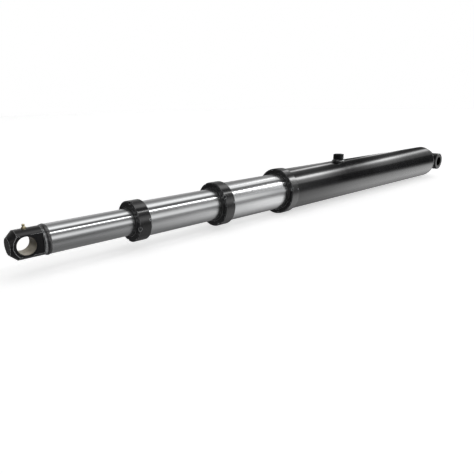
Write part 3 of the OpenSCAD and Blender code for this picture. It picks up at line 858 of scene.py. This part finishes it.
HEX_ACROSS = 8 * MM
HEX_HEIGHT = 3.2 * MM
NIPPLE_HEAD = (         # (height, radius) in mm: waist, ball and the small hole in its top
    (3.0, 3.9), (3.6, 3.2), (4.0, 2.6), (5.0, 2.3), (5.6, 2.5), (6.4, 2.9), (7.4, 3.0), (8.4, 2.7),
    (9.2, 2.0), (9.5, 1.3), (9.4, 0.8), (8.6, 0.6), (8.6, 0), (2.0, 0), (2.0, 3.9),
)
HEX_BEVEL = ((-0.5, 0), (-0.5, 4.3), (0.5, 4.8), (2.7, 4.8), (3.3, 4.2), (3.3, 0))
NIPPLE_SHANK = ((-6, 0), (1, 0), (1, 3), (-6, 3))


def nipple_piece(name, body, node, place):
    """A grease nipple: bevelled hexagon, waist, ball head and its small hole."""
    def turned(part, outline, steps):
        return lathe(name + part, [(a * MM, r * MM) for a, r in outline], steps, "Z")

    corner_r = HEX_ACROSS / math.cos(math.pi / 6) / 2
    turns = [TURN * k / 6 for k in range(6)]
    corners = [(corner_r * math.cos(t), corner_r * math.sin(t)) for t in turns]
    hexagon = prism(name + "_hex", corners, 0, HEX_HEIGHT, "Z")
    mesh = carved(name, hexagon, [
        ("INTERSECT", turned("_cone", HEX_BEVEL, 48)), ("UNION", turned("_head", NIPPLE_HEAD, 32)),
        ("UNION", turned("_shank", NIPPLE_SHANK, 32)),
    ], 0.12 * MM, 1, 40)
    mesh.transform(place)
    crisp(piece(name, mesh, body, "brass", node), 40)


# ---------------------------------------------------------------- the scene round it

FLOOR_SIZE = 14.0
FLOOR_THICK = 0.02
FLOOR_GLOW = 0.62

# Light round the rods, by the angle about the X axis from +Y in degrees, as (angle, brightness)
ROD_LIGHTS = (
    (-20, 0.0), (-12, 0.07), (-2, 0.33), (7, 0.85), (16, 0.92), (25, 0.6), (35, 0.16), (43, 0.3),
    (49, 0.45), (51.5, 1.0), (53.5, 5.0), (55, 5.0), (57, 1.0), (60, 0.3), (63, 0.14), (74, 0.13),
    (79, 0.55), (84, 1.15), (96, 1.2), (108, 0.5), (122, 0.24), (139, 0.34), (164, 0.6), (180, 0.6),
)
# The same round the barrel
BARREL_LIGHTS = (
    (-22, 0.0), (-12, 0.15), (20, 0.22), (28, 0.4), (33, 1.6), (43, 2.1), (50, 3.2), (55, 7.0),
    (60, 11.0), (66, 9.0), (71, 2.0), (76, 0.7), (84, 0.25), (106, 0.3), (114, 1.0), (119, 3.4),
    (125, 3.4), (131, 0.8), (139, 0.5), (164, 0.7), (180, 0.4),
)
# Light that comes up from the ground, at the rod eye and at the first stage
GROUND_NEAR = (
    (-180, 0.2), (-131, 0.2), (-107, 0.17), (-76, 0.15), (-52, 0.17), (-41, 0.21), (-31, 0.15),
    (-21, 0.1), (-12, 0.07), (0, 0.0),
)
GROUND_FAR = (
    (-180, 0.1), (-131, 0.12), (-107, 0.26), (-90, 0.39), (-76, 0.58), (-63, 0.67), (-52, 0.7),
    (-41, 0.7), (-31, 0.66), (-21, 0.45), (-12, 0.12), (0, 0.0),
)
# Factors by the slope of the light along -X, which rises from 0.4 at the rod eye to 2.1 at the base
GROUND_RISE = ((0.0, 0.4), (1.0, 0.4), (1.12, 0.64), (1.3, 0.72), (1.6, 1.0), (2.2, 1.0))
BARREL_FADE = (
    (0.0, 1.0), (1.33, 1.0), (1.4, 0.45), (1.48, 0.12), (1.58, 0.12), (1.7, 0.45), (1.84, 0.6),
    (1.93, 0.25), (2.2, 0.2),
)
ROD_TWIST = 0.22          # part of its angle that the light turns for each unit of slope
BARREL_TWIST = 0.42
ROD_SLOPE = 0.434         # slopes where the angles above hold
BARREL_SLOPE = 1.2
STAGE_SLOPE = 0.96        # slope at the first stage, where the ground light is the far one
STEEPEST = 2.2
BARREL_FROM, BARREL_TO = 1.13, 1.17     # between these slopes the rods' lights become the barrel's
FRONT_FROM, FRONT_TO = 0.1, -0.3        # between these the studio darkens in front of the cylinder
FRONT_DARK = 0.65
LIGHT_SCALE = 11.0        # a ramp holds values up to 1
GROUND_SCALE = 2.5


def ramp(nodes, links, value, stops, low, high, scale):
    """A smooth curve through (position, value) stops, read at a value."""
    place = nodes.new("ShaderNodeMapRange")
    for socket, number in (("From Min", low), ("From Max", high)):
        place.inputs[socket].default_value = number
    links.new(value, place.inputs["Value"])
    curve = nodes.new("ShaderNodeValToRGB")
    elements = curve.color_ramp.elements
    elements.remove(elements[1])
    for k, (where, level) in enumerate(stops):
        place_at = (where - low) / (high - low)
        element = elements.new(place_at) if k else elements[0]
        element.position = place_at
        element.color = (level / scale,) * 3 + (1,)
    links.new(place.outputs["Result"], curve.inputs["Fac"])
    return curve.outputs["Color"]


def make_world():
    """Long soft lights along the cylinder over a pale ground, white where the camera sees it."""
    world = bpy.data.worlds.new("studio")
    world.use_nodes = True
    bpy.context.scene.world = world
    nodes, links = world.node_tree.nodes, world.node_tree.links

    def maths(operation, *values):
        node = nodes.new("ShaderNodeMath")
        node.operation = operation
        for socket, value in zip(node.inputs, values):
            if isinstance(value, (int, float)):
                socket.default_value = value
            else:
                links.new(value, socket)
        return node.outputs["Value"]

    def read(value, stops, low, high, scale=1.0):
        return ramp(nodes, links, value, stops, low, high, scale)

    def add(a, b):
        return maths("ADD", a, b)

    def minus(a, b):
        return maths("SUBTRACT", a, b)

    def times(a, b):
        return maths("MULTIPLY", a, b)

    def between(value, low, high):
        return maths("MINIMUM", maths("MAXIMUM", value, low), high)

    def rise(value, low, high):
        return between(maths("DIVIDE", minus(value, low), high - low), 0.0, 1.0)

    where = nodes.new("ShaderNodeTexCoord")
    split = nodes.new("ShaderNodeSeparateXYZ")
    links.new(where.outputs["Generated"], split.inputs["Vector"])
    x, y, z = (split.outputs[axis] for axis in "XYZ")
    across = maths("SQRT", add(times(y, y), times(z, z)))
    slope = times(maths("DIVIDE", x, maths("MAXIMUM", across, 0.01)), -1)
    front_wall = minus(1.0, times(rise(slope, FRONT_FROM, FRONT_TO), FRONT_DARK))
    slope = between(slope, 0.0, STEEPEST)
    angle = times(maths("ARCTAN2", z, y), math.degrees(1))

    def twisted(twist, start):
        return times(angle, minus(1.0, times(minus(slope, start), twist)))

    rod_light = read(twisted(ROD_TWIST, ROD_SLOPE), ROD_LIGHTS, -20, 180, LIGHT_SCALE)
    barrel_light = read(twisted(BARREL_TWIST, BARREL_SLOPE), BARREL_LIGHTS, -22, 180, LIGHT_SCALE)
    barrel_light = times(barrel_light, read(slope, BARREL_FADE, 0, STEEPEST))
    at_barrel = rise(slope, BARREL_FROM, BARREL_TO)
    sky = add(times(rod_light, minus(1.0, at_barrel)), times(barrel_light, at_barrel))
    near = read(angle, GROUND_NEAR, -180, 0)
    far = read(angle, GROUND_FAR, -180, 0)
    along = rise(slope, ROD_SLOPE, STAGE_SLOPE)
    ground = add(times(near, minus(1.0, along)), times(far, along))
    ground = times(times(ground, read(slope, GROUND_RISE, 0, STEEPEST)), GROUND_SCALE)
    total = times(add(times(sky, LIGHT_SCALE), ground), front_wall)
    room = nodes["Background"]
    links.new(total, room.inputs["Strength"])
    room.inputs["Color"].default_value = (1, 1, 1, 1)
    white = nodes.new("ShaderNodeBackground")
    white.inputs["Color"].default_value = (1, 1, 1, 1)
    path = nodes.new("ShaderNodeLightPath")
    mix = nodes.new("ShaderNodeMixShader")
    links.new(path.outputs["Is Camera Ray"], mix.inputs["Fac"])
    links.new(room.outputs["Background"], mix.inputs[1])
    links.new(white.outputs["Background"], mix.inputs[2])
    links.new(mix.outputs["Shader"], nodes["World Output"].inputs["Surface"])


def make_floor():
    """A plain pale floor that catches the soft shadow and stays out of the chrome's reflections."""
    edge = FLOOR_SIZE
    outline = [(-edge, -edge), (edge, -edge), (edge, edge), (-edge, edge)]
    mesh = prism("floor", outline, FLOOR_Z - FLOOR_THICK, FLOOR_Z, "Z")
    floor = bpy.data.objects.new("floor", mesh)
    bpy.context.scene.collection.objects.link(floor)
    material = bpy.data.materials.new("floor")
    material.use_nodes = True
    surface = material.node_tree.nodes["Principled BSDF"]
    surface.inputs["Base Color"].default_value = (0.9, 0.9, 0.9, 1)
    surface.inputs["Emission Color"].default_value = (1, 1, 1, 1)
    surface.inputs["Emission Strength"].default_value = FLOOR_GLOW
    surface.inputs["Roughness"].default_value = 0.9
    surface.inputs["IOR"].default_value = 1.0
    mesh.materials.append(material)
    floor.visible_glossy = False


# ---------------------------------------------------------------- build

make_camera()
dress_frame()

barrel_shell()
cap_piece()
cross_tube_piece()
bush_low, bush_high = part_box("cross_tube_bushes")
bush_piece("base_bush_left", "barrel", 0, bush_low.y, bush_low.y + BUSH_LEN, "cross_tube_bushes")
bush_piece("base_bush_right", "barrel", 0, bush_high.y - BUSH_LEN, bush_high.y)
port_piece()
port_weld_piece()
saddle_welds()
rear_x = span("barrel_tube")[0]
ring_weld("base_weld_bead", "barrel", "base_weld", (rear_x - WELD_BEVEL / 2 - CAP_WELD_LEG, CAP_R),
          (rear_x + WELD_BEVEL, BARREL_R), (rear_x - 1 * MM, CAP_R), (-0.45, 0.9), BASE_CROWN)

for nut in NUTS:
    nut_piece(*nut)
for number in (1, 2):
    stage = "stage_%d" % number
    step = span(stage + "_tube")[1] - span(stage + "_gland_nut")[0]
    tube_piece(stage, stage + "_tube", STAGE_R[number], WALL, step)
plunger_piece()

rod_eye_piece()
weld_low, weld_high = span("rod_eye_weld")
ring_weld("rod_weld_bead", "plunger", "rod_eye_weld", (weld_low, PLUNGER_R), (weld_high, SHOULDER_R),
          ((weld_low + weld_high) / 2, PLUNGER_R - EYE_WELD_BEVEL), (0, 1), ROD_CROWN)
eye_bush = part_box("rod_eye_bush")
bush_piece("rod_bush", "plunger", EYE_X, eye_bush[0].y, eye_bush[1].y, "rod_eye_bush")
nipple_piece("rod_nipple", "plunger", "rod_grease_nipple",
             Matrix.Translation((mid_x("rod_grease_nipple"), 0, EYE_BAR_R - NIPPLE_SEAT_DEPTH)))
nipple_piece("base_nipple", "barrel", "base_grease_nipple",
             Matrix.Translation((NIPPLE_SEAT_DEPTH - CROSS_R, 0, 0))
             @ Matrix.Rotation(-TURN / 4, 4, "Y"))

make_world()
make_floor()
bpy.context.scene.view_settings.view_transform = "Standard"
